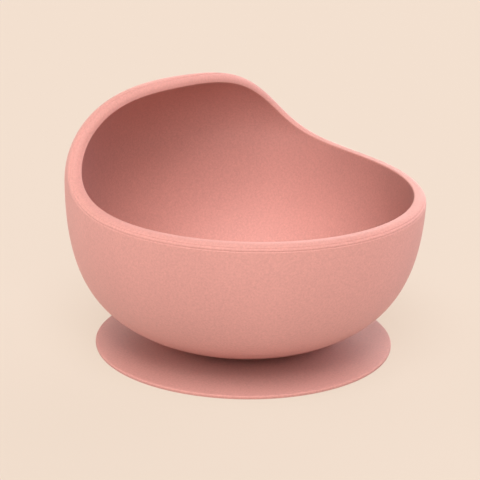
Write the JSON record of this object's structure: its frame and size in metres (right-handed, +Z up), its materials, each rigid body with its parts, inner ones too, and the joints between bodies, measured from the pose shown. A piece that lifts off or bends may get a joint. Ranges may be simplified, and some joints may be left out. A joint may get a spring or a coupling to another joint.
{
  "type": "suction bowl",
  "caption": "Baby's silicone suction bowl: round, with one raised, inward-curling side and a rounded rim, on a thin dished suction base.",
  "frame": {"origin": "on the table, under the middle of the suction base", "axes": "+Z up, +Y towards the raised side of the bowl, YZ plane is the plane of symmetry"},
  "size_m": [0.1248, 0.1249, 0.0895],
  "materials": {
    "bowl_silicone": "matte dusty pink silicone",
    "base_silicone": "matte dusty pink silicone"
  },
  "bodies": {
    "base": {"suction_base": "base_silicone"},
    "bowl": {"bowl": "bowl_silicone"}
  },
  "joints": [
    {"name": "suction_press", "type": "slide", "parent": "base", "child": "bowl", "axis": [0, 0, 1], "range_m": [-0.0015, 0], "stiffness_N_per_m": 10000, "deforming": ["suction_base"]}
  ]
}
